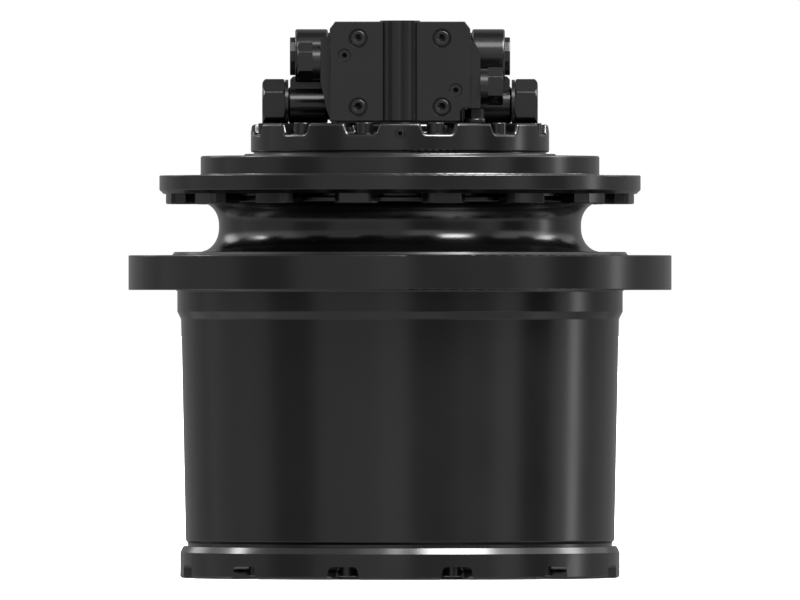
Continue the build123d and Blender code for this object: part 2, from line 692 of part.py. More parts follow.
def roller_row(mid_z, tilt):
    """One row of rollers, each leaning towards or away from the axis."""
    t = radians(tilt)
    with BuildPart() as one:
        with BuildSketch(Plane(origin=(main_roller_mid_r - 14.5 * sin(t), 0, mid_z - 14.5 * cos(t)),
                               z_dir=(sin(t), 0, cos(t)))):
            Circle(main_roller_r)
        extrude(amount=29)
        chamfer(one.edges().filter_by(GeomType.CIRCLE), 0.8)
    with BuildPart() as row:
        with PolarLocations(0, main_roller_count):
            add(one.part)
    return row.part

with BuildPart() as main_bearing_rollers:
    add(roller_row(upper_z, -main_roller_tilt))
    add(roller_row(lower_z, main_roller_tilt))
main_bearing_rollers.part.label = "main_bearing_rollers"
export_step(main_bearing_rollers.part, "parts/main_bearing_rollers.step")

with BuildPart() as bearing_nut:
    revolve(half_section([(141.05, 241.5), (168, 241.5), (169.5, 243), (169.5, 260.5), (168, 262.0),
                          (148, 262.0), (141.05, 262.0 - 1.0)]), axis=Axis.Z)
    with BuildSketch(Plane.XY.offset(241.5)):
        with PolarLocations(169.5, 8):
            Rectangle(14, 16)
    extrude(amount=21, mode=Mode.SUBTRACT)
bearing_nut.part.label = "bearing_nut"
export_step(bearing_nut.part, "parts/bearing_nut.step")

# -- floating face seal ----------------------------------------------------------
with BuildPart() as seal_ring_upper:
    revolve(half_section([(179, 443.1), (193.5, 443.1), (193.5, 446.0), (190.2, 447.6), (190.2, 453.5),
                          (179, 453.5)]), axis=Axis.Z)
seal_ring_upper.part.label = "seal_ring_upper"
export_step(seal_ring_upper.part, "parts/seal_ring_upper.step")

with BuildPart() as seal_ring_lower:
    revolve(half_section([(179, 443.0), (193.5, 443.0), (193.5, 440.1), (190.2, 438.5), (190.2, 428.0),
                          (179, 428.0)]), axis=Axis.Z)
seal_ring_lower.part.label = "seal_ring_lower"
export_step(seal_ring_lower.part, "parts/seal_ring_lower.step")

with BuildPart() as seal_toric_upper:
    with BuildSketch(Plane.XZ):
        with Locations((196.1, 450.7)):
            Ellipse(5.7, 4.6)
    revolve(axis=Axis.Z)
seal_toric_upper.part.label = "seal_toric_upper"
export_step(seal_toric_upper.part, "parts/seal_toric_upper.step")

with BuildPart() as seal_toric_lower:
    with BuildSketch(Plane.XZ):
        with Locations((196.1, 435.4)):
            Ellipse(5.7, 4.6)
    revolve(axis=Axis.Z)
seal_toric_lower.part.label = "seal_toric_lower"
export_step(seal_toric_lower.part, "parts/seal_toric_lower.step")

# ---------------------------------------------------------------------------
# Rotating hub
# ---------------------------------------------------------------------------

def neck_arc(low):
    """Concave waist between the sprocket flange and the hub rim."""
    points = []
    for k in range(0, 11):
        a = radians(90 * k / 10)
        if low:
            points.append((neck_r + 23.0 * (1 - cos(a)), (neck_z - 1) - 28.0 * sin(a)))
        else:
            points.append((neck_r + 21.0 * (1 - cos(a)), (neck_z + 3) + 26.0 * sin(a)))
    return points

low_neck = list(reversed(neck_arc(True)))
high_neck = neck_arc(False)

with BuildPart() as hub_housing:
    with BuildSketch(Plane.XZ) as hub_section:
        with BuildLine():
            outer_line = Polyline(
                (ring_outer_r + 0.05, drum_z0), (250.1, drum_z0), (drum_r_low, 44.4),
                (drum_r_high, 304.9), (sprocket_pilot_r, sprocket_pilot_z0),
                (sprocket_pilot_r, sprocket_flange_z0), (sprocket_flange_r, sprocket_flange_z0),
                (sprocket_flange_r, sprocket_flange_z1),
                (268.7, sprocket_flange_z1), (266.0, 383.9), low_neck[0])
            lower_waist = Spline(*low_neck, tangents=[(-1, 0.05), (0, 1)])
            waist = Line(low_neck[-1], high_neck[0])
            upper_waist = Spline(*high_neck, tangents=[(0, 1), (1, 0.05)])
            Polyline(
                high_neck[-1], (hub_rim_r, 442.0),
                (hub_rim_r, hub_rim_z1), (214.5, hub_rim_z1),
                (214.5, 441.5), (202, 441.5), (202, 427), (main_bearing_od_r + 0.05, 427),
                (main_bearing_od_r + 0.05, 384.0), (177, 384.0), (177, 302.2),
                (main_bearing_od_r + 0.05, 302.2), (main_bearing_od_r + 0.05, 240.0),
                (196, 228.0), (ring_outer_r + 0.05, 222.2), (ring_outer_r + 0.05, drum_z0))
        make_face()
        for (r, z), radius in (
                ((sprocket_pilot_r, sprocket_pilot_z0), 3.0), ((drum_r_high, 304.9), 4.0),
                ((sprocket_pilot_r, sprocket_flange_z0), 2.6), ((sprocket_flange_r, sprocket_flange_z0), 1.4),
                ((sprocket_flange_r, sprocket_flange_z1), 1.4), ((268.7, sprocket_flange_z1), 1.2),
                ((266.0, 383.9), 1.4), ((hub_rim_r, 442.0), 1.8), ((hub_rim_r, hub_rim_z1), 2.6),
                ((drum_r_low, 44.4), 2.0)):
            corner = min(hub_section.vertices(), key=lambda v: (v.X - r) ** 2 + (v.Y - z) ** 2)
            fillet(corner, radius)
    revolve(axis=Axis.Z)
    # sprocket bolt holes
    with BuildSketch(Plane.XY.offset(sprocket_flange_z0)):
        with PolarLocations(sprocket_bolt_pcd / 2, sprocket_bolt_count, start_angle=6):
            Circle(sprocket_bolt_hole_r)
    extrude(amount=60, mode=Mode.SUBTRACT)
    # tapped holes for the cover bolts
    with BuildSketch(Plane.XY.offset(drum_z0)):
        with PolarLocations(cover_bolt_r, cover_bolt_count, start_angle=15):
            Circle(7.1)
    extrude(amount=34, mode=Mode.SUBTRACT)
    # half holes for the ring gear dowels
    with BuildSketch(Plane.XY.offset(46)):
        with PolarLocations(ring_outer_r, 12):
            Circle(5.05)
    extrude(amount=176, mode=Mode.SUBTRACT)
hub_housing.part.label = "hub_housing"
export_step(hub_housing.part, "parts/hub_housing.step")

# ring gears
phase_p1 = [planet_phase(radians(a), sun1_t, planet1_t) for a in planet1_angles]
phase_p2 = [planet_phase(radians(a), sun2_t, planet2_t) for a in planet2_angles]
phase_r1 = ring_phase(radians(planet1_angles[0]), phase_p1[0], planet1_t, ring1_t)
phase_r2 = ring_phase(radians(planet2_angles[0]), phase_p2[0], planet2_t, ring2_t)

with BuildPart() as ring_gear_1:
    with BuildSketch(Plane.XY.offset(46.3)):
        Circle(ring_outer_r)
        add(flat_outline(gear_outline(ring1_t, m1, 1.1 * m1, 0.85 * m1, -backlash, phase_r1), 0),
            mode=Mode.SUBTRACT)
        with PolarLocations(ring_outer_r, 12):
            Circle(5.05, mode=Mode.SUBTRACT)
    extrude(amount=58.7)
ring_gear_1.part.label = "ring_gear_1"
export_step(ring_gear_1.part, "parts/ring_gear_1.step")

with BuildPart() as ring_gear_2:
    with BuildSketch(Plane.XY.offset(105.1)):
        Circle(ring_outer_r)
        add(flat_outline(gear_outline(ring2_t, m2, 1.1 * m2, 0.85 * m2, -backlash, phase_r2), 0),
            mode=Mode.SUBTRACT)
        with PolarLocations(ring_outer_r, 12):
            Circle(5.05, mode=Mode.SUBTRACT)
    extrude(amount=116.9)
ring_gear_2.part.label = "ring_gear_2"
export_step(ring_gear_2.part, "parts/ring_gear_2.step")

with BuildPart() as ring_gear_dowels:
    with BuildSketch(Plane.XY.offset(46.4)):
        with PolarLocations(ring_outer_r, 12):
            Circle(5.0)
    extrude(amount=175.4)
ring_gear_dowels.part.label = "ring_gear_dowels"
export_step(ring_gear_dowels.part, "parts/ring_gear_dowels.step")

# cover
with BuildPart(mode=Mode.PRIVATE) as cover_notch:
    # pocket round one cover bolt, open below and to the rim
    with BuildSketch(Plane(origin=(220, 0, 0), x_dir=(0, 1, 0), z_dir=(1, 0, 0))) as notch_face:
        with BuildLine():
            Polyline((-20.5, -1), (-19.0, 4.0), (-17.0, cover_notch_z), (17.0, cover_notch_z),
                     (19.0, 4.0), (20.5, -1), close=True)
        make_face()
        fillet(notch_face.vertices().group_by(Axis.Y)[-1], 5.0)
    extrude(amount=43)
    fillet(cover_notch.edges().filter_by(Axis.Z, tolerance=20).group_by(Axis.X)[0], 4.2)

with BuildPart() as hub_cover:
    with BuildSketch(Plane.XZ) as cover_section:
        with BuildLine():
            Polyline((0, 25), (0, 0), (62, 0), (66, 4.5), (196, 4.5), (202, 0), (cover_r - 3.6, 0))
            ThreePointArc((cover_r - 3.6, 0), (cover_r - 1.05, 1.05), (cover_r, 3.6))
            Line((cover_r, 3.6), (cover_r, 30.0))
            Polyline((cover_r, 30.0), (255.9, cover_z1 - 0.5), (255.2, cover_z1), (250.1, cover_z1),
                     (250.1, drum_z0), (ring_outer_r - 0.05, drum_z0), (ring_outer_r - 0.05, 45.9),
                     (204, 45.9), (200, 41), (200, 25), (30, 25), (30, 41.5), (0, 41.5), (0, 25))
        make_face()
    revolve(axis=Axis.Z)
    with PolarLocations(0, cover_bolt_count, start_angle=15):
        add(cover_notch.part, mode=Mode.SUBTRACT)
    with BuildSketch(Plane.XY):
        with PolarLocations(cover_bolt_r, cover_bolt_count, start_angle=15):
            Circle(7.6)
    extrude(amount=50, mode=Mode.SUBTRACT)
    # bosses for the fill and drain plugs
    with BuildSketch(Plane.XY):
        with Locations((0, 150), (0, -150)):
            Circle(27)
        with Locations((150, 0)):
            Circle(24)
    extrude(amount=10)
    with BuildSketch(Plane.XY):
        with Locations((0, 150), (0, -150)):
            Circle(18.5)
        with Locations((150, 0)):
            Circle(15.5)
    extrude(amount=6, mode=Mode.SUBTRACT)
    with BuildSketch(Plane.XY):
        with Locations((0, 150), (0, -150)):
            Circle(13.3)
        with Locations((150, 0)):
            Circle(10.5)
    extrude(amount=30, mode=Mode.SUBTRACT)
    # seal groove
    revolve(half_section([(218.6, 42.2), (223, 42.2), (223, 45.2), (218.6, 45.2)]),
            axis=Axis.Z, mode=Mode.SUBTRACT)
hub_cover.part.label = "hub_cover"
export_step(hub_cover.part, "parts/hub_cover.step")

with BuildPart() as cover_bolts:
    with BuildSketch(Plane.XY.offset(3.6)):
        with PolarLocations(cover_bolt_r, cover_bolt_count, start_angle=15):
            Circle(10.5)
    extrude(amount=cover_notch_z - 3.6)
    chamfer(cover_bolts.faces().filter_by(Axis.Z).group_by(Axis.Z)[0].edges(), 0.9)
    with BuildSketch(Plane.XY.offset(3.6)):
        with PolarLocations(cover_bolt_r, cover_bolt_count, start_angle=15):
            RegularPolygon(6.0, 6, major_radius=False)
    extrude(amount=7, mode=Mode.SUBTRACT)
    with BuildSketch(Plane.XY.offset(cover_notch_z)):
        with PolarLocations(cover_bolt_r, cover_bolt_count, start_angle=15):
            Circle(7.0)
    extrude(amount=56)
cover_bolts.part.label = "cover_bolts"
export_step(cover_bolts.part, "parts/cover_bolts.step")

with BuildPart() as cover_plugs:
    for x, y, r_head, r_thread in ((0, 150, 18.0, 13.2), (0, -150, 18.0, 13.2), (150, 0, 15.0, 10.4)):
        with BuildSketch(Plane.XY.offset(0.8)):
            with Locations((x, y)):
                Circle(r_head)
        extrude(amount=5.1)
        with BuildSketch(Plane.XY.offset(0.8)):
            with Locations((x, y)):
                RegularPolygon(r_head * 0.42, 6, major_radius=False)
        extrude(amount=4.0, mode=Mode.SUBTRACT)
        with BuildSketch(Plane.XY.offset(5.9)):
            with Locations((x, y)):
                Circle(r_thread)
        extrude(amount=17)
cover_plugs.part.label = "cover_plugs"
export_step(cover_plugs.part, "parts/cover_plugs.step")

with BuildPart() as cover_seal:
    with BuildSketch(Plane.XZ):
        with Locations((220.25, 43.7)):
            Circle(1.5)
    revolve(axis=Axis.Z)
cover_seal.part.label = "cover_seal"
export_step(cover_seal.part, "parts/cover_seal.step")

# ---------------------------------------------------------------------------
# Stage 2: planets on pins in a carrier that is splined to the spindle
# ---------------------------------------------------------------------------

with BuildPart() as carrier_2:
    with BuildSketch(Plane.XY.offset(209.2)):
        Circle(166)
        Circle(98.4, mode=Mode.SUBTRACT)
    extrude(amount=29.3)
    chamfer(carrier_2.edges().filter_by(GeomType.CIRCLE).group_by(SortBy.RADIUS)[-1], 2.0)
    # internal spline teeth that fit between the nose's teeth
    with BuildSketch(Plane.XY.offset(214)) as carrier_spline:
        Circle(98.7)
        add(flat_outline(spline_outline(30, 94.8, 98.5, 0.54), 0), mode=Mode.SUBTRACT)
    extrude(amount=24.5)
    with BuildSketch(Plane.XY.offset(209.2)):
        with PolarLocations(c2, 4, start_angle=45):
            Circle(19.0)
    extrude(amount=29.3, mode=Mode.SUBTRACT)
carrier_2.part.label = "carrier_2"
export_step(carrier_2.part, "parts/carrier_2.step")

with BuildPart() as planet_2_pins:
    with BuildSketch(Plane.XY.offset(126)):
        with PolarLocations(c2, 4, start_angle=45):
            Circle(25.0)
    extrude(amount=83.2)
    with BuildSketch(Plane.XY.offset(209)):
        with PolarLocations(c2, 4, start_angle=45):
            Circle(19.0)
    extrude(amount=29.5)
    with BuildSketch(Plane.XY.offset(121)):
        with PolarLocations(c2, 4, start_angle=45):
            Circle(32.0)
    extrude(amount=5.5)
planet_2_pins.part.label = "planet_2_pins"
export_step(planet_2_pins.part, "parts/planet_2_pins.step")

with BuildPart() as planet_2_washers:
    for z, h in ((126.6, 3.1), (206.3, 2.8)):
        with BuildSketch(Plane.XY.offset(z)):
            with PolarLocations(c2, 4, start_angle=45):
                Circle(38.0)
                Circle(25.05, mode=Mode.SUBTRACT)
        extrude(amount=h)
planet_2_washers.part.label = "planet_2_washers"
export_step(planet_2_washers.part, "parts/planet_2_washers.step")

with BuildPart() as planet_2_rollers:
    with BuildSketch(Plane.XY.offset(133)):
        with PolarLocations(c2, 4, start_angle=45):
            with PolarLocations(32.25, 13):
                Circle(6.95)
    extrude(amount=70)
planet_2_rollers.part.label = "planet_2_rollers"
export_step(planet_2_rollers.part, "parts/planet_2_rollers.step")

for name, angle, phase in zip("abcd", planet2_angles, phase_p2):
    centre = polar(c2, radians(angle))
    with BuildPart() as planet_2:
        with BuildSketch(Plane.XY.offset(gears2_z0)):
            add(flat_outline(gear_outline(planet2_t, m2, 0.85 * m2, 1.1 * m2, backlash, phase, centre), 0))
            with Locations(centre):
                Circle(39.5, mode=Mode.SUBTRACT)
        extrude(amount=gears2_z1 - gears2_z0)
    planet_2.part.label = "planet_2" + name
    export_step(planet_2.part, "parts/planet_2" + name + ".step")

with BuildPart() as sun_gear_2:
    with BuildSketch(Plane.XY.offset(98)):
        add(flat_outline(gear_outline(sun2_t, m2, 0.85 * m2, 1.1 * m2, backlash, 0.0), 0))
        Circle(26, mode=Mode.SUBTRACT)
    extrude(amount=110)
sun_gear_2.part.label = "sun_gear_2"
export_step(sun_gear_2.part, "parts/sun_gear_2.step")

# ---------------------------------------------------------------------------
# Stage 1: planets on a rotating carrier that drives sun gear 2
# ---------------------------------------------------------------------------

with BuildPart() as carrier_1:
    with BuildSketch(Plane.XY.offset(98)):
        Circle(150)
        add(flat_outline(gear_outline(sun2_t, m2, 0.85 * m2 + 0.15, 1.1 * m2 - 0.1, backlash - 0.12, 0.0), 0),
            mode=Mode.SUBTRACT)
        with PolarLocations(c1, 3, start_angle=90):
            Circle(21.5, mode=Mode.SUBTRACT)
    extrude(amount=17)
    chamfer(carrier_1.edges().filter_by(GeomType.CIRCLE).group_by(SortBy.RADIUS)[-1], 2.0)
carrier_1.part.label = "carrier_1"
export_step(carrier_1.part, "parts/carrier_1.step")

with BuildPart() as planet_1_pins:
    with BuildSketch(Plane.XY.offset(47)):
        with PolarLocations(c1, 3, start_angle=90):
            Circle(21.5)
    extrude(amount=68)
    with BuildSketch(Plane.XY.offset(42.5)):
        with PolarLocations(c1, 3, start_angle=90):
            Circle(27.5)
    extrude(amount=5)
planet_1_pins.part.label = "planet_1_pins"
export_step(planet_1_pins.part, "parts/planet_1_pins.step")

with BuildPart() as planet_1_washers:
    for z, h in ((47.6, 2.1), (94.3, 3.5)):
        with BuildSketch(Plane.XY.offset(z)):
            with PolarLocations(c1, 3, start_angle=90):
                Circle(33.5)
                Circle(21.55, mode=Mode.SUBTRACT)
        extrude(amount=h)
planet_1_washers.part.label = "planet_1_washers"
export_step(planet_1_washers.part, "parts/planet_1_washers.step")

with BuildPart() as planet_1_rollers:
    with BuildSketch(Plane.XY.offset(52)):
        with PolarLocations(c1, 3, start_angle=90):
            with PolarLocations(28.25, 12):
                Circle(6.45)
    extrude(amount=40)
planet_1_rollers.part.label = "planet_1_rollers"
export_step(planet_1_rollers.part, "parts/planet_1_rollers.step")

for name, angle, phase in zip("abc", planet1_angles, phase_p1):
    centre = polar(c1, radians(angle))
    with BuildPart() as planet_1:
        with BuildSketch(Plane.XY.offset(gears1_z0)):
            add(flat_outline(gear_outline(planet1_t, m1, 0.85 * m1, 1.1 * m1, backlash, phase, centre), 0))
            with Locations(centre):
                Circle(35.0, mode=Mode.SUBTRACT)
        extrude(amount=gears1_z1 - gears1_z0)
    planet_1.part.label = "planet_1" + name
    export_step(planet_1.part, "parts/planet_1" + name + ".step")

with BuildPart() as sun_gear_1:
    with BuildSketch(Plane.XY.offset(gears1_z0)):
        add(flat_outline(gear_outline(sun1_t, m1, 0.85 * m1, 1.1 * m1, backlash, 0.0), 0))
    extrude(amount=gears1_z1 - gears1_z0)
    with BuildSketch(Plane.XY.offset(gears1_z1)):
        Circle(22)
    extrude(amount=115.5)
    with BuildSketch(Plane.XY.offset(209.4)):
        add(flat_outline(spline_outline(16, 19.0, 22.0), 0))
    extrude(amount=13.0)
    with BuildSketch(Plane.XY.offset(42.5)):
        Circle(16)
    extrude(amount=8)
sun_gear_1.part.label = "sun_gear_1"
export_step(sun_gear_1.part, "parts/sun_gear_1.step")

# ---------------------------------------------------------------------------
# Motor rotor
# ---------------------------------------------------------------------------

with BuildPart() as shaft_coupling:
    with BuildSketch(Plane.XY.offset(210)):
        Circle(38)
        add(flat_outline(spline_outline(16, 19.15, 22.15, 0.54), 0), mode=Mode.SUBTRACT)
    extrude(amount=26)
    chamfer(shaft_coupling.edges().filter_by(GeomType.CIRCLE), 1.5)
shaft_coupling.part.label = "shaft_coupling"
export_step(shaft_coupling.part, "parts/shaft_coupling.step")

with BuildPart() as drive_shaft:
    with BuildSketch(Plane.XY.offset(223)):
        add(flat_outline(spline_outline(16, 19.0, 22.0), 0))
    extrude(amount=15)
    revolve(half_section([(0, 237.5), (30, 237.5), (32, 239), (32, 284), (34, 286), (34, 292), (30, 296),
                          (30, 350), (27, 354), (27, 486), (25, 488), (25, 522), (0, 522)]), axis=Axis.Z)
    with BuildSketch(Plane.XY.offset(362)):
        Circle(32)
        add(flat_outline(spline_outline(18, 24.0, 27.0), 0), mode=Mode.SUBTRACT)
    extrude(amount=110, mode=Mode.SUBTRACT)
drive_shaft.part.label = "drive_shaft"
export_step(drive_shaft.part, "parts/drive_shaft.step")

with BuildPart() as cylinder_block:
    with BuildSketch(Plane.XY.offset(362)):
        add(flat_outline(spline_outline(20, 80, 84), 0))
        add(flat_outline(spline_outline(18, 24.15, 27.15, 0.54), 0), mode=Mode.SUBTRACT)
    extrude(amount=108)
    with BuildSketch(Plane.XY.offset(470)):
        Circle(80)
        Circle(28.5, mode=Mode.SUBTRACT)
    extrude(amount=19)
    with BuildSketch(Plane.XY.offset(362)):
        with PolarLocations(56, 9):
            Circle(11.6)
    extrude(amount=98, mode=Mode.SUBTRACT)
    with BuildSketch(Plane.XY.offset(455)):
        with PolarLocations(56, 9):
            Circle(5.5)
    extrude(amount=36, mode=Mode.SUBTRACT)
cylinder_block.part.label = "cylinder_block"
export_step(cylinder_block.part, "parts/cylinder_block.step")

with BuildPart() as pistons:
    # nine pistons, ball ends down, mid stroke
    with PolarLocations(56, 9):
        with Locations((0, 0, 346)):
            Cylinder(11.5, 106, align=(Align.CENTER, Align.CENTER, Align.MIN))
        with Locations((0, 0, 340)):
            Cone(5.5, 11.5, 6, align=(Align.CENTER, Align.CENTER, Align.MIN))
        with Locations((0, 0, 331)):
            Cylinder(5.5, 9, align=(Align.CENTER, Align.CENTER, Align.MIN))
        with Locations((0, 0, 329)):
            Sphere(7.5, arc_size1=-70, arc_size2=80)
pistons.part.label = "pistons"
export_step(pistons.part, "parts/pistons.step")

with BuildPart() as slippers:
    revolve(half_section([(56, 318.0), (70, 318.0), (70, 321.0), (66.3, 322.0), (66.3, 332.5), (56, 332.5)]),
            axis=Axis((56, 0, 0), (0, 0, 1)))
    with Locations((56, 0, 329)):
        Sphere(7.8, mode=Mode.SUBTRACT)
    with Locations((56, 0, 318)):
        Cylinder(2.0, 12, align=(Align.CENTER, Align.CENTER, Align.MIN), mode=Mode.SUBTRACT)
    one_slipper = slippers.part
with BuildPart() as slipper_set:
    with PolarLocations(0, 9):
        add(one_slipper)
slipper_set.part.label = "slippers"
export_step(slipper_set.part, "parts/slippers.step")

with BuildPart() as retainer_plate:
    with BuildSketch(Plane.XY.offset(323.4)):
        Circle(76)
        Circle(33, mode=Mode.SUBTRACT)
        with PolarLocations(56, 9):
            Circle(10.8, mode=Mode.SUBTRACT)
    extrude(amount=4)
retainer_plate.part.label = "retainer_plate"
export_step(retainer_plate.part, "parts/retainer_plate.step")

with BuildPart() as brake_discs:
    for k in range(3):
        with BuildSketch(Plane.XY.offset(443.5 + 6.6 * k)):
            Circle(113)
            add(flat_outline(spline_outline(20, 80.3, 84.3, 0.54), 0), mode=Mode.SUBTRACT)
        extrude(amount=3.0)
brake_discs.part.label = "brake_discs"
export_step(brake_discs.part, "parts/brake_discs.step")

with BuildPart() as shaft_bearing_inner_rings:
    revolve(half_section([(32.0, 254), (40.0, 254), (40.0, 282), (32.0, 282)]), axis=Axis.Z)
    revolve(half_section([(25.0, 501), (30.0, 501), (30.0, 521), (25.0, 521)]), axis=Axis.Z)
shaft_bearing_inner_rings.part.label = "shaft_bearing_inner_rings"
export_step(shaft_bearing_inner_rings.part, "parts/shaft_bearing_inner_rings.step")

with BuildPart() as shaft_bearing_rollers:
    with BuildSketch(Plane.XY.offset(256)):
        with PolarLocations(46.3, 18):
            Circle(6.0)
    extrude(amount=23)
    with BuildSketch(Plane.XY.offset(503)):
        with PolarLocations(33.65, 20):
            Circle(3.35)
    extrude(amount=16)
shaft_bearing_rollers.part.label = "shaft_bearing_rollers"
export_step(shaft_bearing_rollers.part, "parts/shaft_bearing_rollers.step")

with BuildPart() as brake_piston:
    revolve(half_section([(92, 463.4), (117.0, 463.4), (117.0, 466.2), (117.92, 467.0), (117.92, 485.0),
                          (116, 486.5), (94, 486.5), (92, 484.5)]), axis=Axis.Z)
    with BuildSketch(Plane.XY.offset(486.5)):
        with PolarLocations(104.5, 10):
            Circle(6.6)
    extrude(amount=-9.5, mode=Mode.SUBTRACT)
brake_piston.part.label = "brake_piston"
export_step(brake_piston.part, "parts/brake_piston.step")
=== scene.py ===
import json
import math

import bpy
import bmesh
from mathutils import Matrix, Vector

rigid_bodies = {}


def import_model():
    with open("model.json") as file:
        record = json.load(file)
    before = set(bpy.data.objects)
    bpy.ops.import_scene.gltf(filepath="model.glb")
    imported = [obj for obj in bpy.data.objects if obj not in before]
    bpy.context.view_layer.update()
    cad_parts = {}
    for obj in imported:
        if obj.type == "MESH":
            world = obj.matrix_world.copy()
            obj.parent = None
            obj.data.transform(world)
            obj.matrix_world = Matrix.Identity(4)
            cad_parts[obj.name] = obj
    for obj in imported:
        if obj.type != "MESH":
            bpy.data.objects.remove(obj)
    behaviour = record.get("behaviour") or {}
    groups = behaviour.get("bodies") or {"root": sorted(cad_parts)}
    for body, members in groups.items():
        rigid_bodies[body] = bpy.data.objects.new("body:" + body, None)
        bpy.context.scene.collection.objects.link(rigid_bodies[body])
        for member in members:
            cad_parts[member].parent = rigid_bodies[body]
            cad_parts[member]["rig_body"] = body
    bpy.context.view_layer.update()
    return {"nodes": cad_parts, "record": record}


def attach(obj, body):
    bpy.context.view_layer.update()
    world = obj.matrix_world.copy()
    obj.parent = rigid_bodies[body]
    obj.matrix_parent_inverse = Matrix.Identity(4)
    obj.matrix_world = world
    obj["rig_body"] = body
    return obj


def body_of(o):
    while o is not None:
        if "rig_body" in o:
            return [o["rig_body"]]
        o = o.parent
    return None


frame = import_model()
nodes = frame["nodes"]


# ---------------------------------------------------------------------------
# Materials
# ---------------------------------------------------------------------------

def principled(name):
    mat = bpy.data.materials.new(name)
    mat.use_nodes = True
    tree = mat.node_tree
    tree.nodes.clear()
    out = tree.nodes.new("ShaderNodeOutputMaterial")
    shader = tree.nodes.new("ShaderNodeBsdfPrincipled")
    tree.links.new(shader.outputs["BSDF"], out.inputs["Surface"])
    return mat, tree, shader


def noise(tree, scale, detail=3.0, rough=0.5, vector=None):
    n = tree.nodes.new("ShaderNodeTexNoise")
    n.inputs["Scale"].default_value = scale
    n.inputs["Detail"].default_value = detail
    n.inputs["Roughness"].default_value = rough
    if vector is not None:
        tree.links.new(vector, n.inputs["Vector"])
    return n


def object_coords(tree, stretch=(1, 1, 1)):
    coord = tree.nodes.new("ShaderNodeTexCoord")
    mapping = tree.nodes.new("ShaderNodeMapping")
    mapping.inputs["Scale"].default_value = stretch
    tree.links.new(coord.outputs["Object"], mapping.inputs["Vector"])
    return mapping.outputs["Vector"]


def map_range(tree, source, lo, hi, from_lo=0.0, from_hi=1.0):
    m = tree.nodes.new("ShaderNodeMapRange")
    m.inputs["From Min"].default_value = from_lo
    m.inputs["From Max"].default_value = from_hi
    m.inputs["To Min"].default_value = lo
    m.inputs["To Max"].default_value = hi
    tree.links.new(source, m.inputs["Value"])
    return m.outputs["Result"]


def ramp(tree, source, stops):
    r = tree.nodes.new("ShaderNodeValToRGB")
    r.color_ramp.interpolation = "LINEAR"
    while len(r.color_ramp.elements) < len(stops):
        r.color_ramp.elements.new(0.5)
    for e, (p, c) in zip(r.color_ramp.elements, stops):
        e.position = p
        e.color = (*c, 1.0)
    tree.links.new(source, r.inputs["Fac"])
    return r.outputs["Color"]


def bump(tree, shader, height, strength, distance):
    b = tree.nodes.new("ShaderNodeBump")
    b.inputs["Strength"].default_value = strength
    b.inputs["Distance"].default_value = distance
    tree.links.new(height, b.inputs["Height"])
    tree.links.new(b.outputs["Normal"], shader.inputs["Normal"])


def paint(name, dark, light, rough_lo, rough_hi, peel=0.04, specular=0.5):
    """Black paint over machined iron: faint cloudiness in colour and gloss, and a fine orange peel."""
    mat, tree, shader = principled(name)
    coords = object_coords(tree)
    cloud = noise(tree, 9.0, 4.0, 0.55, coords)
    fine = noise(tree, 260.0, 2.0, 0.5, coords)
    tree.links.new(ramp(tree, cloud.outputs["Fac"], [(0.30, dark), (0.70, light)]), shader.inputs["Base Color"])
    tree.links.new(map_range(tree, cloud.outputs["Fac"], rough_lo, rough_hi, 0.3, 0.7), shader.inputs["Roughness"])
    shader.inputs["Specular IOR Level"].default_value = specular
    bump(tree, shader, fine.outputs["Fac"], peel, 0.0004)
    return mat


def metal(name, dark, light, rough_lo, rough_hi, stretch=(1, 1, 1), scale=120.0, metallic=1.0):
    """Bare machined metal with fine tool marks."""
    mat, tree, shader = principled(name)
    coords = object_coords(tree, stretch)
    marks = noise(tree, scale, 5.0, 0.6, coords)
    tree.links.new(ramp(tree, marks.outputs["Fac"], [(0.3, dark), (0.7, light)]), shader.inputs["Base Color"])
    tree.links.new(map_range(tree, marks.outputs["Fac"], rough_lo, rough_hi, 0.3, 0.7), shader.inputs["Roughness"])
    shader.inputs["Metallic"].default_value = metallic
    bump(tree, shader, marks.outputs["Fac"], 0.05, 0.0002)
    return mat


black_paint = paint("gloss_black_paint", (0.0024, 0.0024, 0.0025), (0.0034, 0.0034, 0.0035), 0.17, 0.21)
black_hardware = paint("satin_black_hardware", (0.0024, 0.0024, 0.0025), (0.0040, 0.0040, 0.0042), 0.18, 0.25, peel=0.08)
steel = metal("turned_steel", (0.36, 0.36, 0.37), (0.50, 0.50, 0.51), 0.26, 0.38, (1, 1, 18))
bearing_steel = metal("ground_steel", (0.55, 0.55, 0.56), (0.66, 0.66, 0.67), 0.12, 0.2, (1, 1, 6), 200.0)
cast_steel = metal("machined_iron", (0.17, 0.17, 0.175), (0.27, 0.27, 0.275), 0.38, 0.52, (1, 1, 1), 160.0)
bronze = metal("bearing_bronze", (0.44, 0.27, 0.12), (0.60, 0.40, 0.19), 0.28, 0.4, (1, 1, 1), 140.0)
friction = metal("friction_facing", (0.11, 0.08, 0.06), (0.2, 0.16, 0.12), 0.7, 0.85, (1, 1, 1), 400.0, 0.0)
rubber = metal("nitrile_rubber", (0.012, 0.012, 0.012), (0.024, 0.024, 0.024), 0.5, 0.65, (1, 1, 1), 90.0, 0.0)

finish = {"black_paint": black_paint, "black_hardware": black_hardware, "steel": steel,
          "bearing_steel": bearing_steel, "cast_steel": cast_steel, "bronze": bronze,
          "friction": friction, "seal_rubber": rubber}
slot_of = {s["node"]: s["material_slot"] for s in frame["record"]["subparts"]}
nodes_body = {name: body_of(obj)[0] for name, obj in nodes.items()}
for name, obj in nodes.items():
    material = finish[slot_of[name]]
    if not obj.material_slots:
        obj.data.materials.append(material)
    for s in obj.material_slots:
        s.material = material

# ---------------------------------------------------------------------------
# Pieces that the CAD model leaves plain
# ---------------------------------------------------------------------------

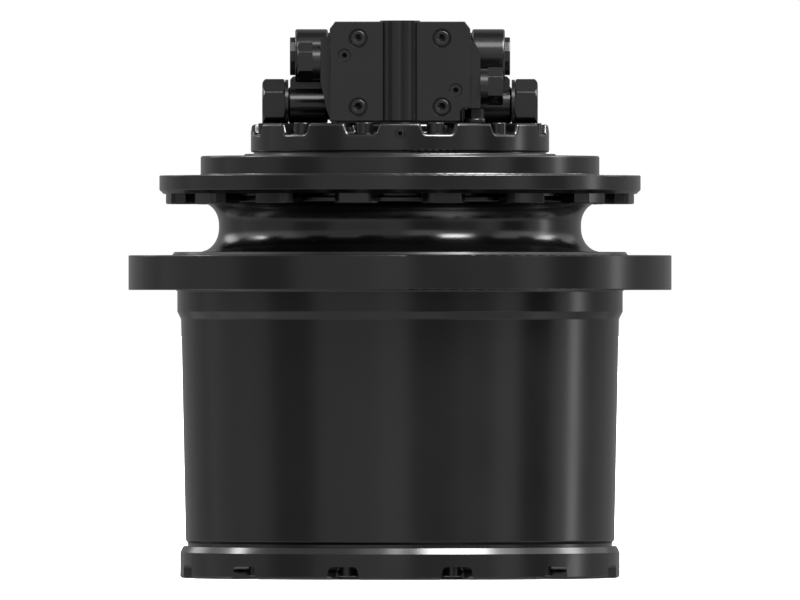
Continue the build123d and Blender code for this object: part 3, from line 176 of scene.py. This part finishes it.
def piece(name, verts, faces, material, body, smooth):
    """Closed mesh in millimetres, turned into an object that rides on a body."""
    mesh = bpy.data.meshes.new(name)
    mesh.from_pydata([(x / 1000, y / 1000, z / 1000) for x, y, z in verts], [], faces)
    mesh.validate()
    bm = bmesh.new()
    bm.from_mesh(mesh)
    bmesh.ops.recalc_face_normals(bm, faces=bm.faces)
    bm.to_mesh(mesh)
    bm.free()
    for f in mesh.polygons:
        f.use_smooth = smooth
    mesh.materials.append(material)
    obj = bpy.data.objects.new(name, mesh)
    bpy.context.scene.collection.objects.link(obj)
    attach(obj, body)
    return obj


def socket_bottom(name, x, y_face, z, apothem, depth, body):
    """Drill point at the bottom of a hexagon socket: a hexagon plug whose front is a cone pointing inwards."""
    r = (apothem - 0.03) / math.cos(math.pi / 6)
    ring = [(x + r * math.cos(k * math.pi / 3), z + r * math.sin(k * math.pi / 3)) for k in range(6)]
    front, back = y_face + 0.9, y_face + depth - 0.02
    verts = [(u, front, v) for u, v in ring] + [(u, back, v) for u, v in ring]
    verts += [(x, front + 0.78 * (back - front), z), (x, back, z)]
    faces = []
    for k in range(6):
        n = (k + 1) % 6
        faces += [(k, n, 12), (k, n, 6 + n, 6 + k), (6 + k, 6 + n, 13)]
    return piece(name, verts, faces, black_hardware, body, False)


spindle_body = nodes_body["valve_block_screws"]
hub_body = nodes_body["hub_housing"]
for n, (x, z) in enumerate(((-49, 634.2), (49, 634.2), (-49, 553.5), (49, 553.5)), 1):
    socket_bottom("block_screw_socket_%d" % n, x, -138.6, z, 5.0, 6.0, spindle_body)
for n, (x, z) in enumerate(((-65.2, 614.3), (65.4, 573.6)), 1):
    socket_bottom("gallery_plug_socket_%d" % n, x, -138.8, z, 3.0, 6.0, spindle_body)
socket_bottom("case_plug_socket", 0, -175.3, 522.4, 2.6, 5.0, spindle_body)

# The hub's waist as a finely turned skin, so that its reflections run smoothly round.
skin = []
for k in range(37):
    a = math.radians(90 - 2.5 * k)
    skin.append((213.0 + 23.0 * (1 - math.cos(a)), 412.0 - 28.0 * math.sin(a),
                 28.0 * math.cos(a), 23.0 * math.sin(a)))
for k in range(37):
    a = math.radians(2.5 * k)
    skin.append((213.0 + 21.0 * (1 - math.cos(a)), 416.0 + 26.0 * math.sin(a),
                 26.0 * math.cos(a), -21.0 * math.sin(a)))
outer, inner = [], []
for k, (r, z, nr, nz) in enumerate(skin):
    size = math.hypot(nr, nz)
    lift = 0.42 if 3 < k < len(skin) - 4 else 0.42 - 0.24 * (4 - min(k, len(skin) - 1 - k))
    outer.append((r + lift * nr / size, z + lift * nz / size))
    inner.append((r - 1.0 * nr / size, z - 1.0 * nz / size))
loop = outer + inner[::-1]
turns = 480
verts, faces = [], []
for k in range(turns):
    c, s_ = math.cos(2 * math.pi * k / turns), math.sin(2 * math.pi * k / turns)
    verts += [(r * c, r * s_, z) for r, z in loop]
m = len(loop)
for k in range(turns):
    q = (k + 1) % turns
    for i in range(m):
        j = (i + 1) % m
        faces.append((k * m + i, q * m + i, q * m + j, k * m + j))
piece("hub_waist_skin", verts, faces, black_paint, hub_body, True)

# ---------------------------------------------------------------------------
# Floor, studio light and camera
# ---------------------------------------------------------------------------

floor_mesh = bpy.data.meshes.new("floor")
bm = bmesh.new()
verts = [bm.verts.new((x, y, -0.0005)) for x, y in ((-60, -20), (60, -20), (60, 200), (-60, 200))]
bm.faces.new(verts)
bm.to_mesh(floor_mesh)
bm.free()
floor = bpy.data.objects.new("floor", floor_mesh)
bpy.context.scene.collection.objects.link(floor)
floor_mat, tree, shader = principled("pale_floor")
speck = noise(tree, 3.0, 2.0, 0.5, object_coords(tree))
tree.links.new(ramp(tree, speck.outputs["Fac"], [(0.3, (0.93, 0.93, 0.93)), (0.7, (0.95, 0.95, 0.95))]),
               shader.inputs["Base Color"])
shader.inputs["Roughness"].default_value = 0.9
shader.inputs["Specular IOR Level"].default_value = 0.0
shader.inputs["Emission Color"].default_value = (1, 1, 1, 1)
shader.inputs["Emission Strength"].default_value = 0.85
floor_mesh.materials.append(floor_mat)
floor.visible_glossy = False
floor.visible_diffuse = False

# The studio: a ring of soft panels round the object.  A row is one height (elevation of
# its middle, half height); its panels are (azimuth of the middle, half width, strength),
# all angles in degrees, azimuth 0 is behind the camera and + to the right.
rows = [
    (-78.0, 16.0, [(-120, 60, 1.3), (0, 60, 1.0), (120, 60, 1.1)]),
    (-50.0, 12.0, [(-120, 30, 1.2), (-60, 30, 0.70), (0, 30, 0.75), (60, 30, 0.60), (120, 30, 1.1), (180, 30, 1.4)]),
    (-24.5, 13.5, [(-135, 13, 0.44), (-108, 14, 0.66), (-83, 11, 0.60), (-59, 13, 0.66), (-28.5, 17.5, 0.74),
                   (-3, 8, 0.76), (17, 12, 0.41), (40, 11, 0.73), (59, 8, 0.89), (77.5, 10.5, 0.67),
                   (101.5, 13.5, 0.53), (131.5, 16.5, 0.32), (180, 32, 0.20)]),
    (0.0, 11.0, [(-135, 13, 0.26), (-108, 14, 0.42), (-83, 11, 0.51), (-59, 13, 0.24), (-28.5, 17.5, 0.57),
                 (-3, 8, 0.69), (17, 12, 0.24), (40, 11, 0.38), (59, 8, 0.70), (77.5, 10.5, 0.13),
                 (101.5, 13.5, 0.55), (131.5, 16.5, 0.27), (180, 32, 0.28)]),
    (22.0, 11.0, [(-135, 13, 0.93), (-108, 14, 1.50), (-83, 11, 1.31), (-59, 13, 0.68), (-28.5, 17.5, 0.70),
                  (-3, 8, 0.70), (17, 12, 1.49), (40, 11, 0.86), (59, 8, 0.54), (77.5, 10.5, 1.42),
                  (101.5, 13.5, 1.73), (131.5, 16.5, 0.79), (180, 32, 0.28)]),
    (47.0, 14.0, [(-150, 20, 0.9), (-112, 18, 1.1), (-75, 19, 0.68), (-42, 14, 0.85), (-20, 8, 1.9),
                  (84, 9, 1.5), (101, 8, 2.2), (124, 15, 1.0), (160, 21, 0.5)]),
    (75.0, 14.0, [(-120, 60, 0.08), (0, 60, 0.5), (120, 60, 0.18)]),
]
# Lamps behind small diffusers: azimuth, half width, softness, elevation, half height,
# softness, strength.
lamps = [
    (37, 22, 3.0, 51, 13, 4.0, 32.0),
    (38, 9, 4.0, 34, 7, 6.5, 30.0),
    (69, 8, 4.0, 47, 12, 5.0, 5.0),
    (-3, 5, 3.0, 50, 10, 4.0, 10.0),
    (-106, 4, 2.5, 30, 8, 4.0, 16.0),
    (113, 7, 3.0, 26, 8, 4.0, 8.0),
    (-141, 8, 4.0, 16, 6, 4.0, 1.8),
    (105.5, 3.5, 2.5, 3, 16, 4.0, 2.0),
]
world = bpy.data.worlds.new("studio")
bpy.context.scene.world = world
world.use_nodes = True
wt = world.node_tree
wt.nodes.clear()


def math_node(op, a, b=None, c=None, clamp=False):
    n = wt.nodes.new("ShaderNodeMath")
    n.operation = op
    n.use_clamp = clamp
    for i, v in enumerate((a, b, c)):
        if v is None:
            continue
        if isinstance(v, (int, float)):
            n.inputs[i].default_value = v
        else:
            wt.links.new(v, n.inputs[i])
    return n.outputs[0]


w_out = wt.nodes.new("ShaderNodeOutputWorld")
coord = wt.nodes.new("ShaderNodeTexCoord")
split = wt.nodes.new("ShaderNodeSeparateXYZ")
wt.links.new(coord.outputs["Generated"], split.inputs[0])
minus_y = math_node("MULTIPLY", split.outputs["Y"], -1.0)
azimuth = math_node("MULTIPLY", math_node("ARCTAN2", split.outputs["X"], minus_y), 180 / math.pi)
elevation = math_node("MULTIPLY", math_node("ARCSINE", split.outputs["Z"]), 180 / math.pi)


def window(value, middle, half, soft, wraps):
    d = math_node("SUBTRACT", value, middle)
    if wraps:
        d = math_node("SUBTRACT", math_node("FLOORED_MODULO", math_node("ADD", d, 180.0), 360.0), 180.0)
    d = math_node("ABSOLUTE", d)
    step = wt.nodes.new("ShaderNodeMapRange")
    step.interpolation_type = "SMOOTHSTEP"
    step.inputs["From Min"].default_value = half - soft
    step.inputs["From Max"].default_value = half + soft
    step.inputs["To Min"].default_value = 1.0
    step.inputs["To Max"].default_value = 0.0
    wt.links.new(d, step.inputs["Value"])
    return step.outputs["Result"]


total = 0.0
for el, el_half, row in rows:
    along = 0.0
    for az, az_half, strength in row:
        soft = 6.0 if az_half > 30.5 else 4.0
        along = math_node("ADD", math_node("MULTIPLY", window(azimuth, az, az_half, soft, True), strength), along)
    total = math_node("ADD", math_node("MULTIPLY", along, window(elevation, el, el_half, 4.0, False)), total)
for az, az_half, az_soft, el, el_half, el_soft, strength in lamps:
    both = math_node("MULTIPLY", window(azimuth, az, az_half, az_soft, True),
                     window(elevation, el, el_half, el_soft, False))
    total = math_node("ADD", math_node("MULTIPLY", both, strength), total)
room = wt.nodes.new("ShaderNodeBackground")
room.inputs["Color"].default_value = (1, 1, 1, 1)
wt.links.new(total, room.inputs["Strength"])
plain = wt.nodes.new("ShaderNodeBackground")
plain.inputs["Color"].default_value = (1, 1, 1, 1)
plain.inputs["Strength"].default_value = 1.0
seen = wt.nodes.new("ShaderNodeLightPath")
pick = wt.nodes.new("ShaderNodeMixShader")
wt.links.new(seen.outputs["Is Camera Ray"], pick.inputs["Fac"])
wt.links.new(room.outputs[0], pick.inputs[1])
wt.links.new(plain.outputs[0], pick.inputs[2])
wt.links.new(pick.outputs[0], w_out.inputs["Surface"])

scene = bpy.context.scene
scene.view_settings.view_transform = "Standard"
scene.view_settings.look = "None"

cam_data = bpy.data.cameras.new("camera")
cam = bpy.data.objects.new("camera", cam_data)
scene.collection.objects.link(cam)
distance = 30.0
mm_per_px = 1.1786
cam_data.sensor_width = 36.0
cam_data.lens = 36.0 * distance / (800 * mm_per_px / 1000)
cam.location = (0, -distance, (577.7 - 300) * mm_per_px / 1000)
cam.rotation_euler = (math.pi / 2, 0, 0)
cam_data.clip_start = 1.0
cam_data.clip_end = 400.0
scene.camera = cam
